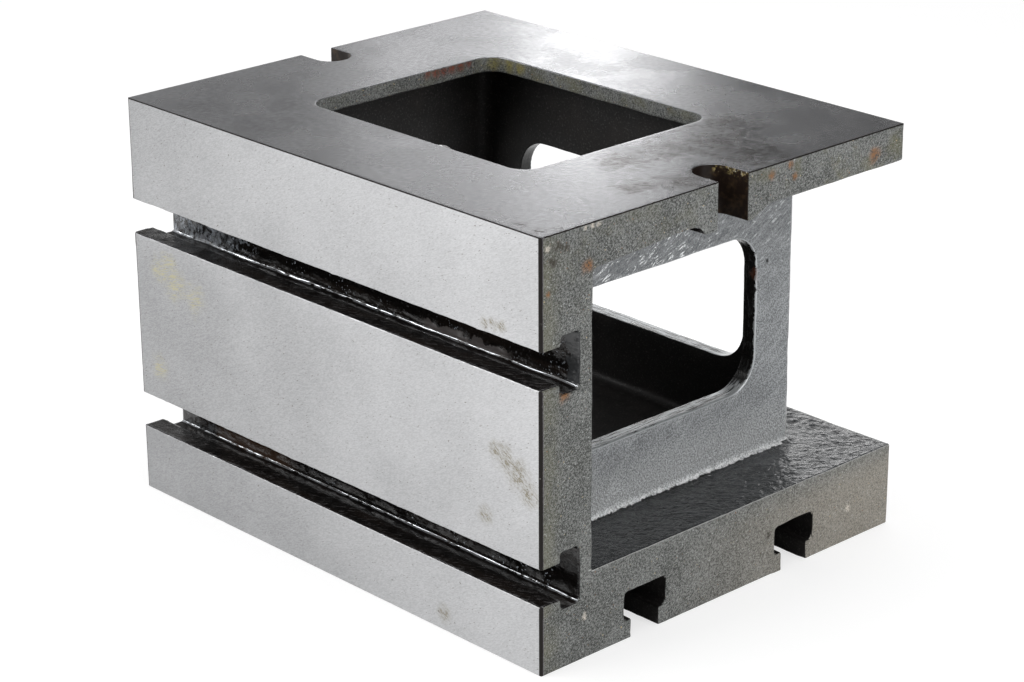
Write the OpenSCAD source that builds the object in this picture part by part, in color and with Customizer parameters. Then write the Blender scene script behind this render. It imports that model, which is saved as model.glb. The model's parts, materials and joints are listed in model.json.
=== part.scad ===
/* [Overall size] */
// Length of the box along its slotted front face
box_w = 423; // [400:1:460]
// Depth from the front face to the rear edges of both plates
box_d = 345; // [335:1:390]
// Height from the floor to the ground top face
box_h = 300; // [285:1:340]

/* [Plates] */
// Thickness of the slotted front plate
front_t = 45.5; // [40:0.5:60]
// Thickness of the slotted base plate
base_t = 61.5; // [45:0.5:75]
// Thickness of the top plate where it overhangs the walls
flange_t = 26.5; // [18:0.5:34]

/* [T-slots] */
// Width of a slot's mouth between its lips
slot_mouth_w = 26; // [18:0.5:30]
// Width of a slot's wide inner part, behind the lips
slot_head_w = 40; // [34:0.5:46]
// Depth of a slot from the ground face to its bottom
slot_depth = 34.5; // [30:0.5:38]
// Thickness of the lips on the front face's slots
front_lip_t = 17; // [12:0.5:20]
// Thickness of the lips on the base's slots
base_lip_t = 13.5; // [10:0.5:18]
// Height of the lower front slot's centre line
front_low_slot_z = 62.5; // [55:0.5:70]
// Height between the centre lines of the two front slots
front_slot_pitch = 149.5; // [110:0.5:160]
// Depth of the first base slot's centre line behind the front face
base_first_slot_y = 95.5; // [90:0.5:105]
// Distance between the centre lines of the two base slots
base_slot_pitch = 148; // [110:0.5:160]

/* [Walls] */
// Thickness of the side and rear walls
wall_t = 12; // [8:0.5:16]
// Overhang of both plates past each side wall
side_overhang = 54; // [46:0.5:64]
// Overhang of both plates past the rear wall
rear_overhang = 48.5; // [40:0.5:56]
// Radius of the walls' outer vertical corners
wall_corner_r = 5; // [2:0.5:7]
// Radius of the fillet along the foot of the walls
foot_fillet_r = 8; // [4:0.5:12]

/* [Windows] */
// Length of the top window along the box
top_window_w = 221; // [160:1:240]
// Depth of the top window from front to rear
top_window_d = 177; // [120:1:190]
// Corner radius of the top window
top_window_r = 15; // [8:0.5:30]
// Thickness of the rim round the top window, inside the walls
top_rim_t = 11.5; // [8:0.5:17]
// Width of each side window from front to rear
side_window_d = 186; // [140:1:200]
// Height of each side window
side_window_h = 114; // [80:1:140]
// Width of the rear window along the box
rear_window_w = 229; // [150:1:240]
// How far the rear window's middle lies to the right of the middle of the box
rear_window_x = 7.5; // [-10:0.5:10]
// Height of the rear window
rear_window_h = 118; // [80:1:140]
// Height of the wall left below the windows, above the base plate
sill_h = 52.5; // [30:0.5:60]
// Corner radius of the wall windows
wall_window_r = 25; // [10:0.5:30]

/* [Bolt notches] */
// Width of the U-shaped bolt notch in each end of the top plate
notch_w = 28; // [18:0.5:34]
// Depth of a bolt notch in from the end face
notch_depth = 32.5; // [22:0.5:40]
// Distance of the notches' centre line behind the middle of the box
notch_y = 1; // [-20:0.5:20]
// Width of the flat underside of the pad that thickens the plate round a notch
pad_w = 45; // [42:0.5:60]
// How far the middle of the pad's underside lies in front of the notch's centre line
pad_lead = 3.5; // [0:0.5:5]
// How far the pad's front side slopes out on its way up to the plate
pad_front_slope = 6; // [2:0.5:10]
// How far the pad's rear side slopes out on its way up to the plate
pad_rear_slope = 16; // [6:0.5:20]
// Extra thickness of the pad below the plate
pad_t = 7.5; // [4:0.5:12]

/* [Hidden] */
$fn = 96;
// How far a cutter runs past the face that it opens
past = 1;
front_y = -box_d / 2;
rear_y = box_d / 2;
end_x = box_w / 2;
plate_y = front_y + front_t;
front_high_slot_z = front_low_slot_z + front_slot_pitch;
base_second_slot_y = base_first_slot_y + base_slot_pitch;
flange_z = box_h - flange_t;
rim_z = box_h - top_rim_t;
wall_x = end_x - side_overhang;
inner_x = wall_x - wall_t;
wall_y = rear_y - rear_overhang;
inner_y = wall_y - wall_t;
sill_z = base_t + sill_h;

// Extrudes an outline drawn as [depth behind the front face, height] along the whole length
module along_box(length = box_w) {
  translate([-length / 2, front_y, 0])
    rotate([90, 0, 90])
      linear_extrude(length)
        children();
}

// A rectangle from one corner to the opposite one
module corner_to_corner(low, high) {
  translate(low)
    square(high - low);
}

// Section of a T-slot whose mouth opens at height 0, centred on the vertical axis
module slot_section(lip_t) {
  corner_to_corner([-slot_mouth_w / 2, -past], [slot_mouth_w / 2, lip_t + past]);
  corner_to_corner([-slot_head_w / 2, lip_t], [slot_head_w / 2, slot_depth + past]);
}

module front_slot_section(z) {
  translate([0, z])
    rotate(-90)
      slot_section(front_lip_t);
}

module base_slot_section(y) {
  translate([y, 0])
    slot_section(base_lip_t);
}

// Front plate: three ground bands between the slots, and the web that joins them behind
module front_upper_band() {
  color([0.66, 0.67, 0.68])
    along_box()
      difference() {
        corner_to_corner([0, front_high_slot_z], [slot_depth, box_h]);
        front_slot_section(front_high_slot_z);
      }
}

module front_middle_band() {
  color([0.66, 0.67, 0.68])
    along_box()
      difference() {
        corner_to_corner([0, front_low_slot_z], [slot_depth, front_high_slot_z]);
        front_slot_section(front_low_slot_z);
        front_slot_section(front_high_slot_z);
      }
}

module front_lower_band() {
  color([0.66, 0.67, 0.68])
    along_box()
      difference() {
        corner_to_corner([0, 0], [slot_depth, front_low_slot_z]);
        front_slot_section(front_low_slot_z);
      }
}

module front_web() {
  color([0.3, 0.3, 0.3])
    along_box()
      corner_to_corner([slot_depth, 0], [front_t, box_h]);
}

// Base plate: three rails between the slots, and the floor of the box above them
module base_front_rail() {
  color([0.38, 0.39, 0.38])
    along_box()
      difference() {
        corner_to_corner([front_t, 0], [base_first_slot_y, slot_depth]);
        base_slot_section(base_first_slot_y);
      }
}

module base_middle_rail() {
  color([0.38, 0.39, 0.38])
    along_box()
      difference() {
        corner_to_corner([base_first_slot_y, 0], [base_second_slot_y, slot_depth]);
        base_slot_section(base_first_slot_y);
        base_slot_section(base_second_slot_y);
      }
}

module base_rear_rail() {
  color([0.38, 0.39, 0.38])
    along_box()
      difference() {
        corner_to_corner([base_second_slot_y, 0], [box_d, slot_depth]);
        base_slot_section(base_second_slot_y);
      }
}

module base_floor() {
  color([0.2, 0.2, 0.2])
    along_box()
      corner_to_corner([front_t, slot_depth], [box_d, base_t]);
}

// A window opening with round corners, standing on height 0 and centred, cut along +Y
module wall_window(width, height) {
  for (side = [-1, 1], end = [0, 1])
    translate([side * (width / 2 - wall_window_r), 0, wall_window_r + end * (height - 2 * wall_window_r)])
      rotate([-90, 0, 0])
        cylinder(r = wall_window_r, h = wall_t + 2 * past);
  translate([-width / 2, 0, wall_window_r])
    cube([width, wall_t + 2 * past, height - 2 * wall_window_r]);
  translate([wall_window_r - width / 2, 0, 0])
    cube([width - 2 * wall_window_r, wall_t + 2 * past, height]);
}

// Section of the foot fillet, with its upright side on the vertical axis
module fillet_section() {
  difference() {
    square(foot_fillet_r);
    translate([foot_fillet_r, foot_fillet_r])
      circle(foot_fillet_r);
  }
}

// One side wall with its rounded rear corner and its foot fillet, drawn on the right
module side_wall() {
  corner_x = wall_x - wall_corner_r;
  corner_y = wall_y - wall_corner_r;
  difference() {
    union() {
      translate([0, 0, base_t])
        linear_extrude(flange_z - base_t) {
          corner_to_corner([inner_x, plate_y], [wall_x, corner_y]);
          corner_to_corner([inner_x, corner_y], [corner_x, wall_y]);
          translate([corner_x, corner_y])
            circle(wall_corner_r);
        }
      translate([wall_x, corner_y, base_t])
        rotate([90, 0, 0])
          linear_extrude(corner_y - plate_y)
            fillet_section();
      translate([corner_x, corner_y, base_t])
        rotate_extrude(angle = 90)
          translate([wall_corner_r, 0])
            fillet_section();
      translate([inner_x, wall_y, base_t])
        rotate([90, 0, 90])
          linear_extrude(corner_x - inner_x)
            fillet_section();
    }
    translate([wall_x + past, (plate_y + inner_y) / 2, sill_z])
      rotate([0, 0, 90])
        wall_window(side_window_d, side_window_h);
  }
}

module right_wall() {
  color([0.55, 0.57, 0.58])
    side_wall();
}

module left_wall() {
  color([0.55, 0.57, 0.58])
    mirror([1, 0, 0])
      side_wall();
}

module rear_wall() {
  color([0.55, 0.57, 0.58]) {
    difference() {
      translate([-inner_x, inner_y, base_t])
        cube([2 * inner_x, wall_t, flange_z - base_t]);
      translate([rear_window_x, inner_y - past, sill_z])
        wall_window(rear_window_w, rear_window_h);
    }
    translate([-inner_x, wall_y, base_t])
      rotate([90, 0, 90])
        linear_extrude(2 * inner_x)
          fillet_section();
  }
}

// Top plate: a thin frame round the window, with a thick flange over each wall
module top_window_frame() {
  corner_x = top_window_w / 2 - top_window_r;
  corner_y = top_window_d / 2 - top_window_r;
  color([0.6, 0.61, 0.62])
    translate([0, 0, rim_z])
      linear_extrude(top_rim_t)
        difference() {
          corner_to_corner([-inner_x, plate_y], [inner_x, inner_y]);
          corner_to_corner([-top_window_w / 2, -corner_y], [top_window_w / 2, corner_y]);
          corner_to_corner([-corner_x, -top_window_d / 2], [corner_x, top_window_d / 2]);
          for (side = [-1, 1], end = [-1, 1])
            translate([side * corner_x, end * corner_y])
              circle(top_window_r);
        }
}

// Outline of the bolt notch in the right end, open past the end face
module notch_section() {
  centre_x = end_x - notch_depth + notch_w / 2;
  translate([centre_x, notch_y])
    circle(notch_w / 2);
  corner_to_corner([centre_x, notch_y - notch_w / 2], [end_x + past, notch_y + notch_w / 2]);
}

module side_flange() {
  translate([0, 0, flange_z])
    linear_extrude(flange_t)
      difference() {
        corner_to_corner([inner_x, plate_y], [end_x, rear_y]);
        notch_section();
      }
}

module notch_pad() {
  pad_front_y = notch_y - pad_lead - pad_w / 2;
  pad_rear_y = pad_front_y + pad_w;
  pad_z = flange_z - pad_t;
  difference() {
    translate([wall_x, 0, 0])
      rotate([90, 0, 90])
        linear_extrude(side_overhang)
          polygon([[pad_front_y, pad_z], [pad_rear_y, pad_z],
                   [pad_rear_y + pad_rear_slope, flange_z], [pad_front_y - pad_front_slope, flange_z]]);
    translate([0, 0, pad_z - past])
      linear_extrude(pad_t + 2 * past)
        notch_section();
  }
}

module top_right_flange() {
  color([0.6, 0.61, 0.62])
    side_flange();
}

module top_left_flange() {
  color([0.6, 0.61, 0.62])
    mirror([1, 0, 0])
      side_flange();
}

module top_rear_flange() {
  color([0.6, 0.61, 0.62])
    translate([-inner_x, inner_y, flange_z])
      cube([2 * inner_x, rear_y - inner_y, flange_t]);
}

module right_notch_pad() {
  color([0.4, 0.41, 0.4])
    notch_pad();
}

module left_notch_pad() {
  color([0.4, 0.41, 0.4])
    mirror([1, 0, 0])
      notch_pad();
}

front_upper_band();
front_middle_band();
front_lower_band();
front_web();
base_front_rail();
base_middle_rail();
base_rear_rail();
base_floor();
left_wall();
right_wall();
rear_wall();
top_window_frame();
top_left_flange();
top_right_flange();
top_rear_flange();
left_notch_pad();
right_notch_pad();
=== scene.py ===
import bpy
import bmesh
import json
import math
import numpy as np
from mathutils import Matrix, Vector
from mathutils.bvhtree import BVHTree
from mathutils.interpolate import poly_3d_calc

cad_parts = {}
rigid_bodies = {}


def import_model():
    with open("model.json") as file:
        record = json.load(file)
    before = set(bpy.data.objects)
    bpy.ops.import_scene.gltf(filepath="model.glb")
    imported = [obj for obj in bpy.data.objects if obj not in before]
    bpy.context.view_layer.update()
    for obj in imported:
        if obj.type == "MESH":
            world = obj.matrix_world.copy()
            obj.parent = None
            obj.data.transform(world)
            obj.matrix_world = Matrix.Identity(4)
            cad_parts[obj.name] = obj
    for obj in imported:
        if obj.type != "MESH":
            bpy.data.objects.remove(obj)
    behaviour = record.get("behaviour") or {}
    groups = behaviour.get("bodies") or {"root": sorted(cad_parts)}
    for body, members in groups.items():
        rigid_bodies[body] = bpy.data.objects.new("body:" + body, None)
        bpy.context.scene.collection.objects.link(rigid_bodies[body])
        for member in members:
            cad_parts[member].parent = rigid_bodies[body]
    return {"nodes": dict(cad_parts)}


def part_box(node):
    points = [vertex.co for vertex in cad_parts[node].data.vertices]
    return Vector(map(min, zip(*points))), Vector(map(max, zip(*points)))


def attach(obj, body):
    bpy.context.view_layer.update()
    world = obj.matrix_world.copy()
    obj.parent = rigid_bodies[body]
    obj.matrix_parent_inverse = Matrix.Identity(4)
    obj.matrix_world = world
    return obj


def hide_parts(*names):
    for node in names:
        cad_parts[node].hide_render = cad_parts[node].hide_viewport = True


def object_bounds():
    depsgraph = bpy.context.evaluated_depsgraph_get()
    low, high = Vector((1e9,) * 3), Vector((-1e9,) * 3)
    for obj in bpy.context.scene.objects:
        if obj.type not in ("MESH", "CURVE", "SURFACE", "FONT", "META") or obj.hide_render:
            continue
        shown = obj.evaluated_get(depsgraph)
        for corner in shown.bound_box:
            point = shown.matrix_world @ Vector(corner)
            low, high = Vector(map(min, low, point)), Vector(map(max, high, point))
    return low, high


for leftOver in list(bpy.data.objects):  # the start-up cube, lamp and camera
    bpy.data.objects.remove(leftOver, do_unlink=True)

mm = 0.001
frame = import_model()
cadBox = [list(corner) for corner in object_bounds()]
print("frame loaded:", len(frame["nodes"]), "members of the casting")

# outer sizes and main planes, read from the frame's own solids
lowCorner, highCorner = Vector(cadBox[0]), Vector(cadBox[1])
endX, frontY, rearY, topZ = highCorner.x, lowCorner.y, highCorner.y, highCorner.z
slotBottomY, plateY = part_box("front_web")[0][1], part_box("front_web")[1][1]
slotRoofZ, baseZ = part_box("base_floor")[0][2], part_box("base_floor")[1][2]
innerX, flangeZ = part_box("top_right_flange")[0][0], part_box("top_right_flange")[0][2]
innerY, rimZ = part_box("top_window_frame")[1][1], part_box("top_window_frame")[0][2]
padLow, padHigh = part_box("right_notch_pad")
wallX = padLow[0]
wallY = innerY + wallX - innerX

slots = {  # T-slots: their mouths come from the frame, the rest is as cast
    "headOver": 7 * mm,     # how far the head reaches past the mouth on each side
    "frontLip": 17 * mm,
    "baseLip": 13.5 * mm,
}
frontMouths = [(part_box("front_lower_band")[1][2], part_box("front_middle_band")[0][2]),
               (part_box("front_middle_band")[1][2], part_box("front_upper_band")[0][2])]
baseMouths = [(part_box("base_front_rail")[1][1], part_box("base_middle_rail")[0][1]),
              (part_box("base_middle_rail")[1][1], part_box("base_rear_rail")[0][1])]

windows = {  # openings in the walls and the top plate
    "top": (221 * mm, 177 * mm),
    "topShift": (-1.5 * mm, -0.6 * mm),   # the core lay a little to the left
    "topCorner": 15 * mm,
    "side": (186 * mm, 114 * mm),
    "sideShift": -7.5 * mm,
    "rear": (229 * mm, 118 * mm),
    "rearShift": 7.5 * mm,
    "sill": 52.5 * mm,
    "corner": 25 * mm,
    "notchWidth": 28 * mm,
    "notchDepth": 32.5 * mm,
    "notchMiddle": 1 * mm,
    "arcSteps": 10,
}

underTop = {  # the plate's underside: pads round the notches, and a sag next to the front plate
    "padFrontSlope": 6 * mm,
    "padRearSlope": 16 * mm,
    "sag": 5 * mm,
    "sagLength": 78 * mm,
    "sagBelow": 26 * mm,    # the sag fades out this far under the plate
    "sagAbove": 4 * mm,     # and this far under its top
}

rounding = {  # radii of the fillets and of the cast and ground edges
    "wallCorner": 5 * mm,
    "insideCorner": 10 * mm,
    "foot": 6 * mm,
    "plateFoot": 1.5 * mm,
    "underPlate": 5 * mm,
    "slotInside": 3 * mm,
    "baseSlotRoof": 5 * mm,
    "slotLip": 1.3 * mm,
    "slotMouth": 1.0 * mm,
    "filedEdge": 2.2 * mm,
    "groundEdge": 0.7 * mm,
    "castEdge": 1.4 * mm,
    "windowEdge": 1.8 * mm,
    "innerEdge": 0.8 * mm,
}

near = 0.02 * mm    # two planes closer than this are one
past = 6 * mm       # how far a cut reaches out of the casting


def block(x0, x1, y0, y1, z0, z1):
    return (min(x0, x1), y0, z0), (max(x0, x1), y1, z1)


# the casting before its windows are cut, and the T-slots to take out of it
def stockBlocks():
    stock = [block(-endX, endX, frontY, plateY, 0, topZ),
             block(-endX, endX, plateY, rearY, 0, baseZ),
             block(-innerX, innerX, plateY, innerY, rimZ, topZ),
             block(-innerX, innerX, innerY, wallY, baseZ, flangeZ),
             block(-innerX, innerX, innerY, rearY, flangeZ, topZ)]
    for side in (-1, 1):
        stock.append(block(side * innerX, side * wallX, plateY, wallY, baseZ, flangeZ))
        stock.append(block(side * innerX, side * endX, plateY, rearY, flangeZ, topZ))
        stock.append(block(side * wallX, side * endX, padLow[1], padHigh[1], padLow[2], padHigh[2]))
    over, wide = slots["headOver"], endX + past
    cuts = []
    for low, high in frontMouths:
        cuts.append(block(-wide, wide, frontY - past, frontY + slots["frontLip"], low, high))
        cuts.append(block(-wide, wide, frontY + slots["frontLip"], slotBottomY, low - over, high + over))
    for low, high in baseMouths:
        cuts.append(block(-wide, wide, low, high, -past, slots["baseLip"]))
        cuts.append(block(-wide, wide, low - over, high + over, slots["baseLip"], slotRoofZ))
    return stock, cuts


# the lines at which any of the blocks begins or ends, along x, y and z
def blockPlanes(blocks):
    return [sorted({round(corner[i], 6) for b in blocks for corner in b}) for i in range(3)]


def insideBlock(grid, b):
    return np.all((grid > b[0]) & (grid < b[1]), axis=-1)


def cellMiddles(planes):
    middles = [(np.array(p[1:]) + np.array(p[:-1])) / 2 for p in planes]
    return np.stack(np.meshgrid(*middles, indexing="ij"), axis=-1)


# one clean skin of quads round the filled cells
def skinOfCells(name, planes, filled):
    filled = np.pad(filled, 1)
    found, faces = {}, []
    for cell in np.argwhere(filled):
        for axis in range(3):
            for way in (0, 1):
                beside = cell.copy()
                beside[axis] += 2 * way - 1
                if filled[tuple(beside)]:
                    continue
                ring = []
                for u, v in ((0, 0), (1, 0), (1, 1), (0, 1)):
                    index = cell - 1
                    index[axis] += way
                    index[(axis + 1) % 3] += u
                    index[(axis + 2) % 3] += v
                    ring.append(found.setdefault(tuple(index), len(found)))
                faces.append(ring if way else ring[::-1])
    points = [[planes[i][index[i]] for i in range(3)] for index in found]
    mesh = bpy.data.meshes.new(name)
    mesh.from_pydata(points, [], faces)
    return mesh


# corners of a rectangle with round corners, centred, anticlockwise
def roundedOutline(width, height, radius, steps):
    outline = []
    for turn, (u, v) in enumerate(((1, 1), (-1, 1), (-1, -1), (1, -1))):
        for k in range(steps + 1):
            angle = (turn + k / steps) * math.pi / 2
            outline.append((u * (width / 2 - radius) + radius * math.cos(angle),
                            v * (height / 2 - radius) + radius * math.sin(angle)))
    return outline


# the U of a bolt notch in the right end, open past the end face
def notchOutline(steps):
    r = windows["notchWidth"] / 2
    centre, middle = endX - windows["notchDepth"] + r, windows["notchMiddle"]
    outline = [(centre + r * math.cos(a), middle + r * math.sin(a))
               for a in np.linspace(math.pi / 2, 3 * math.pi / 2, 2 * steps + 1)]
    return outline + [(endX + past, middle - r), (endX + past, middle + r)]


# the pads spread towards the plate above them
def slopePads(mesh):
    for vertex in mesh.vertices:
        if close(vertex.co.z, padLow[2]) and abs(vertex.co.x) > wallX - near:
            if close(vertex.co.y, padLow[1]):
                vertex.co.y += underTop["padFrontSlope"]
            elif close(vertex.co.y, padHigh[1]):
                vertex.co.y -= underTop["padRearSlope"]


# a prism of the outline from low to high; place turns (u, v, w) into a point
def cutter(outline, low, high, place):
    bm = bmesh.new()
    rings = [[bm.verts.new(place(u, v, w)) for u, v in outline] for w in (low, high)]
    bm.faces.new(rings[0][::-1])
    bm.faces.new(rings[1])
    for k in range(len(outline)):
        after = (k + 1) % len(outline)
        bm.faces.new((rings[0][k], rings[0][after], rings[1][after], rings[1][k]))
    bmesh.ops.recalc_face_normals(bm, faces=bm.faces[:])
    mesh = bpy.data.meshes.new("cutter")
    bm.to_mesh(mesh)
    bm.free()
    return mesh


def linked(name, mesh):
    obj = bpy.data.objects.new(name, mesh)
    bpy.context.scene.collection.objects.link(obj)
    return obj


def cutWindows(casting):
    steps = windows["arcSteps"]
    topOutline = roundedOutline(*windows["top"], windows["topCorner"], steps)
    sideOutline = roundedOutline(*windows["side"], windows["corner"], steps)
    rearOutline = roundedOutline(*windows["rear"], windows["corner"], steps)
    sill = baseZ + windows["sill"]
    sideMid, rearMid = sill + windows["side"][1] / 2, sill + windows["rear"][1] / 2
    dx, dy = windows["topShift"]
    shift, rearShift = windows["sideShift"], windows["rearShift"]
    prisms = [
        cutter(topOutline, rimZ - past, topZ + past, lambda u, v, w: (u + dx, v + dy, w)),
        cutter(rearOutline, innerY - past, wallY + past, lambda u, v, w: (u + rearShift, w, v + rearMid)),
        cutter(sideOutline, innerX - past, wallX + past, lambda u, v, w: (w, u + shift, v + sideMid)),
        cutter(sideOutline, -wallX - past, -innerX + past, lambda u, v, w: (w, u + shift, v + sideMid)),
        cutter(notchOutline(steps), padLow[2] - past, topZ + past, lambda u, v, w: (u, v, w)),
        cutter(notchOutline(steps), padLow[2] - past, topZ + past, lambda u, v, w: (-u, v, w)),
    ]
    tools = [linked("cutter", mesh) for mesh in prisms]
    for tool in tools:
        opening = casting.modifiers.new("window", "BOOLEAN")
        opening.operation = "DIFFERENCE"
        opening.solver = "EXACT"
        opening.object = tool
    applyModifiers(casting)
    for tool in tools:
        bpy.data.objects.remove(tool, do_unlink=True)


def applyModifiers(obj):
    bpy.context.view_layer.update()
    evaluated = obj.evaluated_get(bpy.context.evaluated_depsgraph_get())
    mesh = bpy.data.meshes.new_from_object(evaluated)
    old, obj.data = obj.data, mesh
    obj.modifiers.clear()
    bpy.data.meshes.remove(old)


def close(a, b):
    return abs(a - b) < near


def bothAt(edge, test):
    return all(test(v.co) for v in edge.verts)


sharpAngle = math.radians(25)


# rounds each sharp edge by what radiusOf(edge, concave) gives, 0 for none
def bevelEdges(casting, radiusOf, segments):
    bm = bmesh.new()
    bm.from_mesh(casting.data)
    weight = bm.edges.layers.float.get("bevel_weight_edge") or bm.edges.layers.float.new("bevel_weight_edge")
    largest = max(rounding.values())
    count = 0
    for edge in bm.edges:
        edge[weight] = 0
        if len(edge.link_faces) != 2 or edge.calc_face_angle(0) < sharpAngle:
            continue
        radius = radiusOf(edge, not edge.is_convex)
        edge[weight] = radius / largest
        count += radius > 0
    bm.to_mesh(casting.data)
    bm.free()
    bevel = casting.modifiers.new("round", "BEVEL")
    bevel.limit_method = "WEIGHT"
    bevel.width = largest
    bevel.segments = segments
    bevel.use_clamp_overlap = False
    bevel.loop_slide = True
    applyModifiers(casting)
    print("rounded", count, "edges,", len(casting.data.polygons), "faces")


def wallCornerRadius(edge, concave):
    if bothAt(edge, lambda p: close(abs(p.x), wallX) and close(p.y, wallY)):
        return rounding["wallCorner"]
    return 0


# the cast-in fillets, where walls and plates meet
def filletRadius(edge, concave):
    if not concave:
        return 0
    inside = bothAt(edge, lambda p: abs(p.x) < innerX + near and plateY - near < p.y < innerY + near)
    upright = abs(edge.verts[0].co.z - edge.verts[1].co.z) > near
    if inside and bothAt(edge, lambda p: p.z > baseZ - near):
        if upright:
            return rounding["insideCorner"]
        if bothAt(edge, lambda p: close(p.z, baseZ)):
            return rounding["foot"]
        return rounding["underPlate"] if bothAt(edge, lambda p: close(p.z, rimZ)) else 0
    outside = bothAt(edge, lambda p: p.y > plateY - near and p.z > baseZ - near)
    if outside and bothAt(edge, lambda p: close(p.z, baseZ) and close(p.y, plateY)):
        return rounding["plateFoot"]
    if outside and bothAt(edge, lambda p: close(p.z, baseZ)):
        return rounding["foot"]
    if outside and upright and bothAt(edge, lambda p: close(p.y, plateY)):
        return rounding["foot"]
    return rounding["underPlate"] if outside else 0


# everything that the fillets leave: slot edges, window edges and the ground edges
def edgeRadius(edge, concave):
    middle = (edge.verts[0].co + edge.verts[1].co) / 2
    x, y, z = abs(middle.x), middle.y, middle.z
    atEnd, atFront, atTop, atFoot = close(x, endX), close(y, frontY), close(z, topZ), close(z, 0)
    if concave:
        roof = y > plateY and z > slotRoofZ - mm
        nearSide = any(close(y, low - slots["headOver"]) for low, high in baseMouths)
        return rounding["baseSlotRoof"] if roof and nearSide else rounding["slotInside"]
    if atFront and atEnd:
        return rounding["filedEdge"]
    if atTop or (atFront and atFoot):
        return rounding["groundEdge"]
    if atFront or atFoot:
        return rounding["slotMouth"]
    if y < slotBottomY or z < slotRoofZ:
        return rounding["slotMouth"] if atEnd else rounding["slotLip"]
    if close(x, innerX) or close(y, innerY):
        return rounding["innerEdge"]
    return rounding["castEdge"] if atEnd or close(y, rearY) else rounding["windowEdge"]


stock, cuts = stockBlocks()
planes = blockPlanes(stock + cuts)
cells = cellMiddles(planes)
filled = np.zeros(cells.shape[:3], bool)
for b in stock:
    filled |= insideBlock(cells, b)
for b in cuts:
    filled &= ~insideBlock(cells, b)
casting = linked("casting", skinOfCells("casting", planes, filled))
slopePads(casting.data)
print("stock:", len(casting.data.polygons), "faces")
cutWindows(casting)
print("windows cut:", len(casting.data.polygons), "faces")
bevelEdges(casting, wallCornerRadius, 4)
bevelEdges(casting, filletRadius, 5)
bevelEdges(casting, edgeRadius, 2)

skin = {  # how finely the skin is divided
    "cell": (8 * mm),
    "snap": 0.4 * mm,        # a cut this near to a corner goes through the corner
    "wrinkleDivisions": 2,
    "slotDivisions": 1,
}


# cuts the skin along even planes between the block lines, then halves each cell
def divideSkin(casting):
    bm = bmesh.new()
    bm.from_mesh(casting.data)
    for axis in range(3):
        normal = Vector([float(axis == i) for i in range(3)])
        for low, high in zip(planes[axis], planes[axis][1:]):
            outOfCasting = axis == 0 and abs(high) > endX + near
            if outOfCasting or abs(low) > endX + near:    # strips above the upper slot's mouth stay whole
                continue
            count = math.ceil((high - low) / skin["cell"])
            for k in range(1, count):
                spot = normal * (low + (high - low) * k / count)
                bmesh.ops.bisect_plane(bm, geom=bm.verts[:] + bm.edges[:] + bm.faces[:],
                                       dist=skin["snap"], plane_co=spot, plane_no=normal)
    bmesh.ops.subdivide_edges(bm, edges=bm.edges[:], cuts=1, use_grid_fill=True)
    for test, rounds in ((inSlotFace, skin["slotDivisions"]), (onBaseTopFace, skin["wrinkleDivisions"])):
        for k in range(rounds):
            chosen = {edge for face in bm.faces if test(face) for edge in face.edges}
            bmesh.ops.subdivide_edges(bm, edges=list(chosen), cuts=1, use_grid_fill=True)
    large = [face for face in bm.faces if len(face.verts) > 4]
    bmesh.ops.triangulate(bm, faces=large)
    bm.to_mesh(casting.data)
    bm.free()
    print("skin divided:", len(casting.data.polygons), "faces")


def inSlotFace(face):
    p = face.calc_center_median()
    if abs(p.x) > endX - near:
        return False
    over = slots["headOver"] + mm
    if frontY + 0.2 * mm < p.y < slotBottomY + mm:
        return any(low - over < p.z < high + over for low, high in frontMouths)
    if p.y > plateY and 0.2 * mm < p.z < slotRoofZ + mm:
        return any(low - over < p.y < high + over for low, high in baseMouths)
    return False


def onBaseTopFace(face):
    p = face.calc_center_median()
    outside = abs(p.x) > wallX + 4 * mm or p.y > wallY + 4 * mm
    return outside and p.y > plateY + 4 * mm and abs(p.z - baseZ) < 1.5 * mm and face.normal.z > 0.7


divideSkin(casting)

# the finishes of the casting, in the order of its material slots
finishes = ["groundFront", "groundTop", "groundFoot", "castEnd", "silverWall", "blackSlot",
            "blackInside", "wrinkledBase", "windowCut", "notchBlack", "filedEdge"]
order = {name: i for i, name in enumerate(finishes)}


def within(values, low, high):
    return (values > low) & (values < high)


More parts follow.
